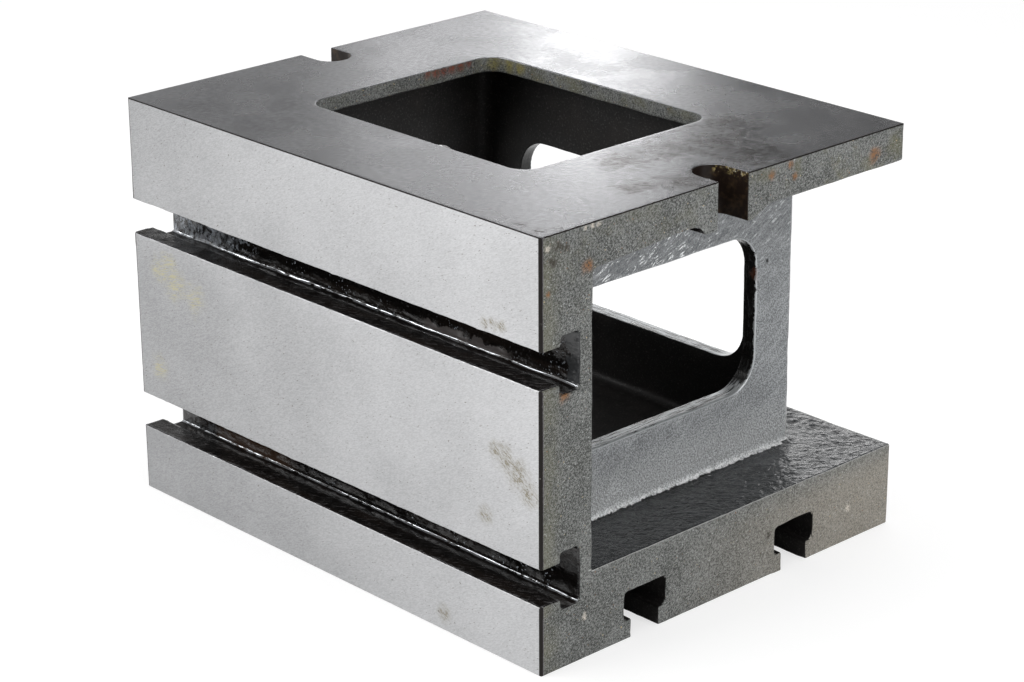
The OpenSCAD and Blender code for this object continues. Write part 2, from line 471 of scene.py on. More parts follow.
# which finish each face has, from where it lies and how it faces
def finishOfFaces(at, normal):
    x, y, z = np.abs(at[:, 0]), at[:, 1], at[:, 2]
    nx, ny, nz = np.abs(normal[:, 0]), normal[:, 1], normal[:, 2]
    finish = np.full(len(at), order["silverWall"])
    over = slots["headOver"] + mm
    finish[(nz > 0.75) & (np.abs(z - baseZ) < 2.5 * mm) & (y > plateY)] = order["wrinkledBase"]
    inside = (x < innerX + 0.3 * mm) & within(y, plateY - mm, innerY + 0.3 * mm)
    finish[inside & within(z, baseZ - mm, rimZ + mm)] = order["blackInside"]
    atWindow = within(z, baseZ + 30 * mm, flangeZ - 20 * mm)
    sides = within(x, innerX + 0.3 * mm, wallX - 0.2 * mm) & (y < innerY)
    rear = within(y, innerY + 0.3 * mm, wallY - 0.2 * mm) & (x < innerX)
    finish[atWindow & (sides | rear)] = order["windowCut"]
    dent = 1.6 * mm    # the cast ends are nowhere deeper than this
    ends = (nx > 0.6) & (x > endX - dent)
    back = (ny > 0.6) & (y > rearY - dent)
    aroundRim = (x < 125 * mm) & (np.abs(y) < 100 * mm)
    finish[ends | back | (aroundRim & within(z, rimZ + 0.5 * mm, topZ - 0.5 * mm))] = order["castEnd"]
    for low, high in frontMouths:
        inSlot = within(y, frontY + 0.5 * mm, slotBottomY + mm) & within(z, low - over, high + over)
        finish[inSlot & (nx < 0.7)] = order["blackSlot"]
    for low, high in baseMouths:
        inSlot = within(z, 0.5 * mm, slotRoofZ + mm) & within(y, low - over, high + over)
        finish[inSlot & (nx < 0.7)] = order["blackInside"]
    underPad = (x > wallX + 2 * mm) & within(y, padLow[1] - 5 * mm, padHigh[1] + 5 * mm) & (z < flangeZ - mm)
    aroundNotch = (x > endX - windows["notchDepth"] - 2 * mm) & (np.abs(y - windows["notchMiddle"]) < 17 * mm)
    aroundNotch &= (nx < 0.9) | (x < endX - dent)
    abovePadFoot = z > padLow[2] - mm
    finish[underPad & abovePadFoot] = order["blackSlot"]
    finish[aroundNotch & (nz < 0.7) & abovePadFoot] = order["notchBlack"]
    finish[ends & abovePadFoot] = order["castEnd"]
    finish[(ny < -0.5) & (y < frontY + 1.1 * mm)] = order["groundFront"]
    finish[(nz > 0.5) & (z > topZ - 0.8 * mm)] = order["groundTop"]
    finish[(nz < -0.5) & (z < 1.1 * mm)] = order["groundFoot"]
    width = rounding["filedEdge"]
    filed = (x > endX - width) & (y < frontY + width) & (nx > 0.15) & (ny < -0.15)
    outer = (y < frontY + 1.5 * mm) | (x > endX - 1.5 * mm) | (y > rearY - 1.5 * mm)
    finish[filed | (outer & (z > topZ - rounding["groundEdge"]) & (nz < 0.97))] = order["filedEdge"]
    return finish


draw = np.random.RandomState(11)
shuffled = draw.permutation(256)
lattice = draw.uniform(-1, 1, (256, 3))


# a share from 0 to 1, with soft ends
def eased(share):
    return share * share * (3 - 2 * share)


# smooth random vectors, one for each point, that change over the given size
def lumps(at, size, seed=0):
    scaled = at / np.asarray(size) + 31.7 * seed    # each seed looks at another place of the lattice
    cell = np.floor(scaled).astype(int)
    ease = eased(scaled - cell)
    total = np.zeros((len(at), 3))
    for step in np.ndindex(2, 2, 2):
        i, j, k = ((cell + step) & 255).T
        pick = shuffled[(shuffled[(shuffled[i] + j) & 255] + k) & 255]
        weight = np.prod(np.where(step, ease, 1 - ease), axis=1)
        total += lattice[pick] * weight[:, None]
    return total


def readArray(collection, name, width, kind=np.float64):
    values = np.empty(len(collection) * width, kind)
    collection.foreach_get(name, values)
    return values.reshape(-1, width) if width > 1 else values


# the vertex of each face's corners, and how many corners each face has
def faceCorners(mesh):
    return (readArray(mesh.loops, "vertex_index", 1, np.int32),
            readArray(mesh.polygons, "loop_total", 1, np.int32))


def unitLength(vectors):
    return vectors / np.maximum(np.linalg.norm(vectors, axis=1), 1e-12)[:, None]


# normals of the vertices, in which large faces count for more than small ones
def smoothNormals(mesh):
    corners, sizes = faceCorners(mesh)
    weighted = readArray(mesh.polygons, "normal", 3) * readArray(mesh.polygons, "area", 1)[:, None]
    spread = np.repeat(weighted, sizes, axis=0)
    total = [np.bincount(corners, spread[:, i], len(mesh.vertices)) for i in range(3)]
    return unitLength(np.stack(total, axis=1))


# how much each vertex sticks out, 1 on a sharp outside edge, below 0 in a hollow
def edgeSharpness(mesh, at, normal):
    corners, sizes = faceCorners(mesh)
    centres = np.repeat(readArray(mesh.polygons, "center", 3), sizes, axis=0)
    faceNormals = np.repeat(readArray(mesh.polygons, "normal", 3), sizes, axis=0)
    reach = centres - at[corners]
    drop = -np.sum(reach * normal[corners], axis=1) / np.maximum(np.linalg.norm(reach, axis=1), 1e-9)
    turn = 1 - np.sum(faceNormals * normal[corners], axis=1)
    worst = np.zeros(len(at))
    np.maximum.at(worst, corners, turn)
    lean = np.bincount(corners, drop, len(at))
    return np.clip(worst * 6, 0, 1) * np.sign(lean)


unevenness = {  # in mm: how high the lumps of each area are, and how long; most have a fine second set
    "wall": ((0.30, 26), (0.12, 7)),
    "end": ((0.16, 34), (0.10, 5)),
    "slot": ((0.55, 24), (0.22, 7)),
    "inside": ((0.55, 34), (0.16, 8)),
    "ground": ((0.05, 60), (0.03, 6)),
    "mouth": ((0.12, 30), (0.12, 5)),
    "wrinkle": (0.55, (7.5, 4.5, 4.5)),
    "drip": (0.5, 12),
    "chip": (1.4, 5),
    "footBead": 0.9,
}


# makes the skin uneven, as cast, painted and knocked about; the ground faces stay flat
def roughenSkin(casting):
    mesh = casting.data
    at = readArray(mesh.vertices, "co", 3)
    normal = smoothNormals(mesh)
    sharp = edgeSharpness(mesh, at, normal)
    x, y, z = np.abs(at[:, 0]), at[:, 1], at[:, 2]
    onFront, onTop, onFoot = y < frontY + near, z > topZ - near, z < near
    onEnd, onBack = x > endX - near, y > rearY - near
    inSlot = np.zeros(len(at), bool)
    mouth = np.zeros(len(at), bool)
    over = slots["headOver"] + 0.5 * mm
    for low, high in frontMouths:
        inSlot |= within(y, frontY + near, slotBottomY + 0.5 * mm) & within(z, low - over, high + over)
        mouth |= (y < frontY + 1.2 * mm) & within(z, low - 1.5 * mm, high + 1.5 * mm)
    for low, high in baseMouths:
        inSlot |= within(z, near, slotRoofZ + 0.5 * mm) & within(y, low - over, high + over)
        mouth |= (z < 1.2 * mm) & within(y, low - 1.5 * mm, high + 1.5 * mm) & (y > plateY)
    inSlot &= ~onEnd
    inside = (x < innerX + near) & within(y, plateY - near, innerY + near) & (z < rimZ + near)
    groundEdge = (y < frontY + 0.7 * mm) | (z > topZ - 0.7 * mm) | (z < 0.7 * mm)
    kind = np.full(len(at), 0)
    kinds = ["wall", "end", "inside", "slot", "ground", "mouth"]
    for index, mask in ((1, onEnd | onBack), (2, inside), (3, inSlot), (4, groundEdge), (5, mouth)):
        kind[mask] = index
    high = np.array([[part[0] for part in unevenness[k]] for k in kinds]) * mm
    long = np.array([[part[1] for part in unevenness[k]] for k in kinds]) * mm
    move = np.zeros((len(at), 3))
    for index in range(len(kinds)):
        mask = kind == index
        for octave in (0, 1):
            move[mask] += high[index, octave] * lumps(at[mask], long[index, octave], seed=octave)
    move[:, 2] -= plateSag(at)
    move += slotDrips(at, normal, inSlot)
    move += baseWrinkles(at, normal)
    move += knocks(at, normal, sharp, mouth)
    move[onFront, 1] = 0
    move[onTop | onFoot, 2] = 0
    move[onEnd, 0] = -np.sign(at[onEnd, 0]) * np.abs(move[onEnd, 0])
    move[onBack, 1] = -np.abs(move[onBack, 1])
    moved = at + move
    for axis in range(3):
        moved[:, axis] = np.clip(moved[:, axis], lowCorner[axis], highCorner[axis])
    mesh.vertices.foreach_set("co", moved.ravel())
    # outside edges, for bare knocked edges and for painted edge highlights in the finishes
    wearAndHighlight = mesh.attributes.new("wearAndHighlight", "FLOAT", "POINT")
    wearAndHighlight.data.foreach_set("value", np.clip(sharp, 0, 1))
    mesh.update()


# how far the plate's underside hangs down close to the front plate, outside the walls
def plateSag(at):
    x, y, z = np.abs(at[:, 0]), at[:, 1], at[:, 2]
    along = np.clip(1 - (y - plateY) / underTop["sagLength"], 0, 1) * (y > plateY + near) * (x > wallX - near)
    fadeOut, keepFrom = underTop["sagBelow"], topZ - underTop["sagAbove"]
    below = np.clip((z - flangeZ + fadeOut) / fadeOut, 0, 1)
    above = np.clip((keepFrom - z) / (keepFrom - flangeZ), 0, 1)
    return underTop["sag"] * along * np.where(z < flangeZ, eased(below), eased(above))


# paint that ran down the slot bottoms and gathered in their corners
def slotDrips(at, normal, inSlot):
    high, long = unevenness["drip"]
    runs = lumps(at, np.array([long, 30, 60]) * mm, seed=3)[:, 0]
    beads = lumps(at, 4.5 * mm, seed=4)[:, 1]
    rise = np.clip(runs, 0, 1) * high * mm + np.clip(beads - 0.35, 0, 1) * 0.5 * mm
    return normal * (rise * inSlot)[:, None]


aslant = 47    # degrees; the ripples of the base and the scratches of the top run this way
ripplesTurn = np.array(Matrix.Rotation(math.radians(aslant), 3, "Z"))


# the wrinkled paint on top of the base, smoother close to the walls, and a bead along their foot
def baseWrinkles(at, normal):
    x, y, z = np.abs(at[:, 0]), at[:, 1], at[:, 2]
    onBase = (np.abs(z - baseZ) < 3 * mm) & (y > plateY + mm) & (normal[:, 2] > 0.5)
    fromWall = np.maximum(x - wallX, y - wallY)
    onBase &= fromWall > 2 * mm
    toEdge = np.minimum(endX - x, rearY - y)
    grow = np.clip(toEdge / (7 * mm), 0, 1) * np.clip((fromWall - 9 * mm) / (8 * mm), 0.2, 1)
    patch = np.clip(0.75 + 0.6 * lumps(at, 45 * mm, seed=5)[:, 0] + (y - 0.02) * 4, 0.25, 1.2)
    high, long = unevenness["wrinkle"]
    turned = (at + 2.5 * mm * lumps(at, 14 * mm, seed=6)) @ ripplesTurn
    folds = 1 - 2 * np.abs(lumps(turned, np.array(long) * mm, seed=7)[:, 0])
    folds += 0.5 * (1 - 2 * np.abs(lumps(turned, np.array(long) * 0.6 * mm, seed=8)[:, 1]))
    move = np.zeros((len(at), 3))
    move[:, 2] = (folds - 0.7) * high * mm * grow * patch * onBase
    bead = np.exp(-((fromWall - rounding["foot"] + 0.5 * mm) / (1.6 * mm)) ** 2)
    bead *= 0.6 + 0.8 * lumps(at, 14 * mm, seed=9)[:, 2]
    move += normal * (np.clip(bead, 0, 1) * unevenness["footBead"] * mm * onBase)[:, None]
    return move


# small chips out of the outside edges, more of them at the slot mouths
def knocks(at, normal, sharp, mouth):
    high, long = unevenness["chip"]
    level = np.where(mouth, 0.42, 0.62)
    depth = np.clip(lumps(at, long * mm, seed=12)[:, 0] - level, 0, 1) * high * mm
    depth *= np.clip(sharp, 0, 1)
    return -normal * depth[:, None]


mesh = casting.data
faceFinish = finishOfFaces(readArray(mesh.polygons, "center", 3), readArray(mesh.polygons, "normal", 3))
roughenSkin(casting)
print("skin roughened")

joints = {  # where one member stops and the next begins
    "lap": 3 * mm,          # how far a member reaches past a flat face
    "floorAbove": 11 * mm,  # the base floor takes the uneven skin on top of it
    "rearInside": 11 * mm,  # the rear wall takes its fillets inside
    "slotRoot": 4.5 * mm,   # the web and the floor take the round corners of the slots
    "underFrame": 5.5 * mm,
    "underFlange": 7 * mm,
    "roundPad": 7 * mm,
    "underPad": 8 * mm,
    "farOut": 1.0,          # a block that ends here is open to that side
}


# the space that each member takes, as blocks; a later block wins over an earlier one
def memberBlocks():
    over, lap, far, root = slots["headOver"], joints["lap"], joints["farOut"], joints["slotRoot"]
    afterFillet = rounding["foot"] + mm
    inner, outer = innerX - rounding["insideCorner"] - mm, wallX + afterFillet
    webFoot, behind = plateY + afterFillet, wallY + afterFillet
    lapX, lapY, footZ, headZ = innerX + lap, innerY + lap, baseZ - lap, flangeZ + lap
    frameZ, flangeLow = rimZ - joints["underFrame"], flangeZ - joints["underFlange"]
    rearInside = innerY - joints["rearInside"]
    sides = ((-1, "left_wall", "top_left_flange", "left_notch_pad"),
             (1, "right_wall", "top_right_flange", "right_notch_pad"))
    parts = []

    def take(name, *limits):
        parts.append((name, block(*limits)))

    def middles(mouths):
        return [-far] + [(low + high) / 2 for low, high in mouths] + [far]

    take("base_floor", -far, far, plateY, far, -far, baseZ + joints["floorAbove"])
    mids = middles(baseMouths)
    for name, y0, y1 in zip(("base_front_rail", "base_middle_rail", "base_rear_rail"), mids, mids[1:]):
        take(name, -far, far, max(y0, plateY), y1, -far, slotRoofZ)
    for low, high in baseMouths:
        take("base_floor", -far, far, low - over - lap, high + over + lap, slotRoofZ - root, baseZ)
    for side, wall, flange, pad in sides:
        take(wall, side * inner, side * outer, plateY - lap, behind, footZ, headZ)
        take(wall, side * inner, side * lapX, plateY - lap, lapY, flangeZ, frameZ)
    take("rear_wall", -inner, inner, rearInside, behind, footZ, headZ)
    take("rear_wall", -inner, inner, rearInside, lapY, flangeZ, frameZ)
    for side, wall, flange, pad in sides:
        take(flange, side * lapX, side * far, plateY, far, headZ, far)
        take(flange, side * outer, side * far, plateY, far, flangeLow, far)
        take(flange, side * lapX, side * far, behind, far, flangeLow, far)
    take("top_rear_flange", -lapX, lapX, lapY, far, headZ, far)
    take("top_rear_flange", -lapX, lapX, behind, far, flangeLow, far)
    take("top_window_frame", -lapX, lapX, plateY, lapY, frameZ, far)
    for side, wall, flange, pad in sides:
        take(pad, side * (wallX + lap), side * far, padLow[1] - joints["roundPad"],
             padHigh[1] + joints["roundPad"], padLow[2] - joints["underPad"], headZ)
    take("front_web", -far, far, slotBottomY, plateY, -far, far)
    for side, wall, flange, pad in sides:
        take(wall, side * inner, side * outer, plateY - lap, plateY, footZ, headZ)
        take("front_web", side * outer, side * far, slotBottomY, webFoot, footZ, headZ)
    take("front_web", -inner, inner, slotBottomY, webFoot, footZ, frameZ)
    mids = middles(frontMouths)
    for name, z0, z1 in zip(("front_lower_band", "front_middle_band", "front_upper_band"), mids, mids[1:]):
        take(name, -far, far, -far, slotBottomY, z0, z1)
    for low, high in frontMouths:
        take("front_web", -far, far, slotBottomY - root, slotBottomY, low - over - lap, high + over + lap)
    return parts


roundTo = 7    # decimals by which a member's vertex is found again on the casting


# normals for the vertices of a member, taken from the whole casting so that no joint shows
def normalsFromCasting(mesh, at, normal, known, tree, source):
    spots = np.round(readArray(mesh.vertices, "co", 3), roundTo)
    found = np.zeros((len(spots), 3))
    for i, spot in enumerate(map(tuple, spots)):
        index = known.get(spot)
        if index is not None:
            found[i] = normal[index]
            continue
        place, _, face, _ = tree.find_nearest(Vector(spot))
        corners = list(source.polygons[face].vertices)
        share = poly_3d_calc([Vector(at[c]) for c in corners], place)
        found[i] = np.array(share) @ normal[corners]
    return unitLength(found)


# cuts the casting into its members, each a closed solid with the skin's own normals
def splitMembers(casting, faceFinish):
    parts = memberBlocks()
    planes = blockPlanes([b for name, b in parts])
    cells = cellMiddles(planes)
    names = sorted(frame["nodes"])
    owner = np.full(cells.shape[:3], -1)
    for name, b in parts:
        owner[insideBlock(cells, b)] = names.index(name)
    source = casting.data
    tag = source.attributes.new("finish", "INT", "FACE")
    tag.data.foreach_set("value", faceFinish + 1)
    at = readArray(source.vertices, "co", 3)
    normal = smoothNormals(source)
    known = {key: i for i, key in enumerate(map(tuple, np.round(at, roundTo)))}
    tree = BVHTree.FromPolygons([Vector(p) for p in at], [tuple(face.vertices) for face in source.polygons])
    members = {}
    for index, name in enumerate(names):
        region = linked("region", skinOfCells("region", planes, owner == index))
        member = linked("member_" + name, source.copy())
        keep = member.modifiers.new("keep", "BOOLEAN")
        keep.operation = "INTERSECT"
        keep.solver = "MANIFOLD"
        keep.object = region
        applyModifiers(member)
        bpy.data.objects.remove(region, do_unlink=True)
        mesh = member.data
        tags = readArray(mesh.attributes["finish"].data, "value", 1, np.int32)
        smooth = normalsFromCasting(mesh, at, normal, known, tree, source)
        corners, sizes = faceCorners(mesh)
        flat = np.repeat(readArray(mesh.polygons, "normal", 3), sizes, axis=0)
        joint = np.repeat(tags == 0, sizes)
        mesh.polygons.foreach_set("material_index", np.maximum(tags - 1, 0))
        mesh.polygons.foreach_set("use_smooth", np.ones(len(tags), bool))
        mesh.normals_split_custom_set(np.where(joint[:, None], flat, smooth[corners]))
        mesh.attributes.remove(mesh.attributes["finish"])
        members[name] = member
    bpy.data.objects.remove(casting, do_unlink=True)
    return members


members = splitMembers(casting, faceFinish)
faceCount = sum(len(member.data.polygons) for member in members.values())
print("split into", len(members), "members,", faceCount, "faces")


# adds a shader node; inputs are sockets to link or plain values to set
def add(tree, kind, inputs=None, **settings):
    made = tree.nodes.new("ShaderNode" + kind)
    for name, value in settings.items():
        setattr(made, name, value)
    for key, value in (inputs or {}).items():
        if isinstance(value, bpy.types.NodeSocket):
            tree.links.new(value, made.inputs[key])
        else:
            made.inputs[key].default_value = value
    return made


# the node tree that the first socket among the values belongs to
def treeOf(*values):
    return next(value.id_data for value in values if isinstance(value, bpy.types.NodeSocket))


# one sum of all the values, from the first to the last
def sums(kind, *values):
    total = values[0]
    for value in values[1:]:
        total = add(treeOf(*values), "Math", {0: total, 1: value}, operation=kind).outputs[0]
    return total


def times(*values):
    return sums("MULTIPLY", *values)


def plus(*values):
    return sums("ADD", *values)


def minus(*values):
    return sums("SUBTRACT", *values)


def highest(*values):
    return sums("MAXIMUM", *values)


def unsigned(value):
    return add(treeOf(value), "Math", {0: value}, operation="ABSOLUTE").outputs[0]


def xyz(vector):
    return add(treeOf(vector), "SeparateXYZ", {0: vector}).outputs[:3]


# a smooth step from toLow to toHigh while the value goes from low to high
def ramp(value, low, high, toLow=0.0, toHigh=1.0):
    made = add(treeOf(value), "MapRange", {"Value": value, "From Min": low, "From Max": high, "To Min": toLow,
                                           "To Max": toHigh}, interpolation_type="SMOOTHSTEP")
    return made.outputs[0]


# from the first colour to the second as the share goes from 0 to 1
def blend(share, first, second):
    tree = treeOf(share)
    made = add(tree, "Mix", {0: share}, data_type="RGBA")
    for index, value in ((6, first), (7, second)):
        if isinstance(value, bpy.types.NodeSocket):
            tree.links.new(value, made.inputs[index])
        else:
            made.inputs[index].default_value = (*value, 1)
    return made.outputs[2]


# lays paint, dirt and rust over a colour; each layer is its share and its colour
def layered(colour, *layers):
    for share, over in layers:
        colour = blend(share, colour, over)
    return colour


# a noise between 0 and 1; size in mm, or three sizes for a stretched grain, and turn in degrees
def grain(place, size, detail=2.0, rough=0.5, turn=None, warp=0.0):
    tree = treeOf(place)
    stretch = size if isinstance(size, tuple) else (size, size, size)
    mapping = add(tree, "Mapping", {"Vector": place, "Scale": tuple(1 / (s * mm) for s in stretch)})
    if turn:
        turned = add(tree, "Mapping", {"Vector": place, "Rotation": tuple(math.radians(a) for a in turn)})
        tree.links.new(turned.outputs[0], mapping.inputs["Vector"])
    made = add(tree, "TexNoise", {"Vector": mapping.outputs[0], "Scale": 1.0, "Detail": detail,
                                  "Roughness": rough, "Distortion": warp})
    return made.outputs[0]


# 1 close to any of the places (x, y, z and reach in mm), 0 past its reach, with a ragged outline
def blots(place, places, ragged=0.6):
    tree = treeOf(place)
    noisy = add(tree, "TexNoise", {"Vector": place, "Scale": 110.0, "Detail": 3.0}).outputs["Color"]
    shift = add(tree, "VectorMath", {0: noisy, 1: (0.5, 0.5, 0.5)}, operation="SUBTRACT").outputs[0]
    spots = []
    for x, y, z, reach in places:
        push = add(tree, "VectorMath", {0: shift, "Scale": ragged * reach * mm * 2}, operation="SCALE")
        moved = add(tree, "VectorMath", {0: place, 1: push.outputs[0]}, operation="ADD")
        far = add(tree, "VectorMath", {0: moved.outputs[0], 1: (x * mm, y * mm, z * mm)},
                  operation="DISTANCE").outputs["Value"]
        spots.append(ramp(far, reach * mm, reach * mm * 0.15))
    return highest(*spots)


# the part of the skin that edgeSharpness found to be an outside edge, used for bare knocked edges and for
# painted edge highlights
def wearAndHighlightEdges(place):
    return add(treeOf(place), "Attribute", attribute_name="wearAndHighlight").outputs["Fac"]


# a new material, its shader with the fixed values, and the place on the casting in metres
def newFinish(name, **fixed):
    material = bpy.data.materials.new(name)
    material.use_nodes = True
    shader = material.node_tree.nodes["Principled BSDF"]
    for socket, value in fixed.items():
        shader.inputs[socket].default_value = value
    return material, shader, add(material.node_tree, "TexCoord").outputs["Object"]


def connect(shader, colour, **others):
    shader.id_data.links.new(colour, shader.inputs["Base Color"])
    for socket, value in others.items():
        shader.id_data.links.new(value, shader.inputs[socket])


# relief of the given depth in mm, on top of an earlier one if there is any
def bump(shader, height, strength, depth, under=None):
    tree = treeOf(height)
    made = add(tree, "Bump", {"Height": height, "Strength": strength, "Distance": depth * mm})
    if under is not None:
        tree.links.new(under.outputs[0], made.inputs["Normal"])
    tree.links.new(made.outputs[0], shader.inputs["Normal"])
    return made


# in the finishes grain sizes are in mm, turns in degrees, and spots are x, y, z and reach in mm
groundFront = {
    "light": (0.665, 0.668, 0.678),
    "dull": (0.32, 0.322, 0.328),
    "paintedLightSlope": (1.3, 0.8),       # painted light: lighter towards the right end and the top, per metre
    "grainSize": (2.2, 2.2, 0.55),
    "longSize": (18, 18, 0.9),
    "grainTurn": (0, 24, 0),
    "roughness": (0.30, 0.46),
    "pit": (0.14, 0.12, 0.10),
    "pitSize": (2.6, 2.6, 0.9),
    "olive": (0.47, 0.44, 0.29),
    "fibreSize": (7, 7, 0.8),
    "oliveAt": [(-182, -172.5, 178, 15), (-165, -172.5, 171, 18), (-142, -172.5, 166, 17),
                (-188, -172.5, 101, 13), (-172, -172.5, 185, 12), (-190, -172.5, 60, 10)],
    "brown": (0.21, 0.18, 0.11),
    "flakeSize": (3.0, 3.0, 0.9),
    "brownAt": [(170, -172.5, 147, 10), (178, -172.5, 144, 15), (190, -172.5, 136, 17),
                (200, -172.5, 126, 14), (160, -172.5, 231, 6), (168, -172.5, 232, 7),
                (176, -172.5, 233, 6), (159, -172.5, 98, 10), (118, -172.5, 12, 10)],
}


def groundFrontFinish(name, recipe):
    material, shader, place = newFinish(name, Metallic=0.92)
    x, y, z = xyz(place)
    turn = recipe["grainTurn"]
    cloud = grain(place, 70, 2)
    fine = grain(place, recipe["grainSize"], 3, 0.6, turn)
    longer = grain(place, recipe["longSize"], 3, 0.6, turn)
    pits = grain(place, recipe["pitSize"], 1, 0.5, turn)
    fibres = grain(place, recipe["fibreSize"], 4, 0.7, (0, 12, 0), warp=0.8)
    flakes = grain(place, recipe["flakeSize"], 5, 0.75, (0, -35, 0))
    # painted light: the colour grows lighter towards the right end and the top, where more light falls
    toRight, toTop = recipe["paintedLightSlope"]
    tone = plus(ramp(cloud, 0.3, 0.7, 0, 0.16), ramp(fine, 0.38, 0.62, 0.08, 0.34),
                plus(times(x, toRight), times(z, toTop)))
    olive = times(blots(place, recipe["oliveAt"]), ramp(fibres, 0.46, 0.58), 0.95)
    brown = times(blots(place, recipe["brownAt"], 0.3),
                  ramp(flakes, 0.45, 0.60, 0.15, 1), 0.9)
    colour = layered(blend(tone, recipe["dull"], recipe["light"]),
                     (olive, recipe["olive"]),
                     (brown, recipe["brown"]),
                     (ramp(pits, 0.29, 0.24, 0, 0.7), recipe["pit"]))
    connect(shader, colour, Roughness=ramp(longer, 0.25, 0.75, *recipe["roughness"]))
    bump(shader, plus(times(fine, 0.6), times(longer, 0.4)), 0.25, 0.12)
    return material


groundTop = {
    "light": (0.53, 0.532, 0.55),
    "dull": (0.34, 0.341, 0.355),
    "grainSize": (2.2, 4.5, 3),
    "grainTurn": (0, 0, 20),
    "roughness": (0.22, 0.30),
    "stain": (0.19, 0.18, 0.18),
    "deep": (0.10, 0.09, 0.085),
    "mottleSize": (11, 7, 8),
    "scratchSize": (3.4, 2.6, 3),
    "stainTurn": (0, 0, -aslant),
    "stainAt": [(138, -26, 300, 26), (142, 16, 300, 32), (150, 50, 300, 40), (130, 84, 300, 30),
                (184, 44, 300, 38), (180, -60, 300, 20), (196, -30, 300, 26)],
    "scuffAt": [(200, -164, 300, 9), (184, -164, 300, 8), (206, -152, 300, 7)],
}


def groundTopFinish(name, recipe):
    material, shader, place = newFinish(name, Metallic=0.92)
    cloud = grain(place, 48, 3, 0.55)
    fine = grain(place, recipe["grainSize"], 3, 0.65, recipe["grainTurn"])
    mottle = grain(place, recipe["mottleSize"], 5, 0.72, recipe["stainTurn"])
    scratches = grain(place, recipe["scratchSize"], 4, 0.75, recipe["stainTurn"])
    flecks = grain(place, (2.0, 3.4, 2.0), 2, 0.6)
    tone = plus(ramp(cloud, 0.25, 0.75, 0, 0.4), ramp(fine, 0.32, 0.68, 0, 0.6))
    stained = blots(place, recipe["stainAt"], 0.9)
    scuffed = blots(place, recipe["scuffAt"], 0.9)
    patches = highest(times(stained, ramp(mottle, 0.42, 0.56)), scuffed)
    colour = layered(blend(tone, recipe["dull"], recipe["light"]),
                     (times(stained, ramp(mottle, 0.30, 0.60, 0.3, 0.8)), recipe["stain"]),
                     (times(patches, ramp(scratches, 0.46, 0.58)), recipe["deep"]),
                     (ramp(flecks, 0.27, 0.21, 0, 0.5), recipe["stain"]))
    connect(shader, colour, Roughness=ramp(cloud, 0.3, 0.7, *recipe["roughness"]))
    return material


castEnd = {
    "dark": (0.050, 0.053, 0.049),
    "light": (0.265, 0.272, 0.264),
    "paintedLightSlope": 0.35,      # painted floor reflection: lighter towards the rear, per metre
    "sandSize": (1.1, 1.5, 0.9),
    "sandTurn": (-35, 0, 0),
    "roughness": (0.62, 0.40),
    "olive": (0.15, 0.145, 0.085),
    "oliveCorner": (22, 4),    # in mm from the front face: where it ends, and where it is full
    "sparkle": (0.62, 0.64, 0.63),
    "cream": (0.50, 0.41, 0.25),
    # low on the base's end, to the rear: the cast's own tint, lightened as a painted floor reflection
    "warmCastAndFloorReflection": (0.36, 0.325, 0.27),
    "rust": (0.27, 0.12, 0.04),
    "rustAt": [(211.5, -132, 272, 7), (211.5, 38, 293, 5), (211.5, 56, 296, 4), (211.5, 142, 284, 8),
               (211.5, -166, 262, 3), (211.5, -152, 190, 7), (211.5, 60, 287, 4)],
    "flake": (0.62, 0.57, 0.50),
    "flakeAt": [(211.5, -128, 297.6, 3.2), (211.5, -122, 297.9, 3), (211.5, -134, 297.2, 2.4),
                (211.5, 128, 25.6, 3.8), (211.5, -134, 30.5, 3.4), (211.5, -167, 292, 3.6)],
    "pit": (0.045, 0.038, 0.028),
    "pitSize": (3, 1.2, 3),
    "pitAt": [(211.5, 44, 31, 4.2), (211.5, -158, 292, 8), (211.5, -150, 288, 6), (211.5, -162, 282, 5)],
    "red": (0.27, 0.06, 0.035),
    "redAt": [(-112, along, 298, 6) for along in range(24, 64, 8)] + [(-112, 64, 298, 5)],
    "yellow": (0.26, 0.23, 0.07),
    "yellowAt": [(-106, 84, 295, 9), (-94, 88, 295, 9), (-82, 88, 296, 7)],
    # painted highlight along the top edge of the base's end
    "edge": (0.62, 0.62, 0.60),
}


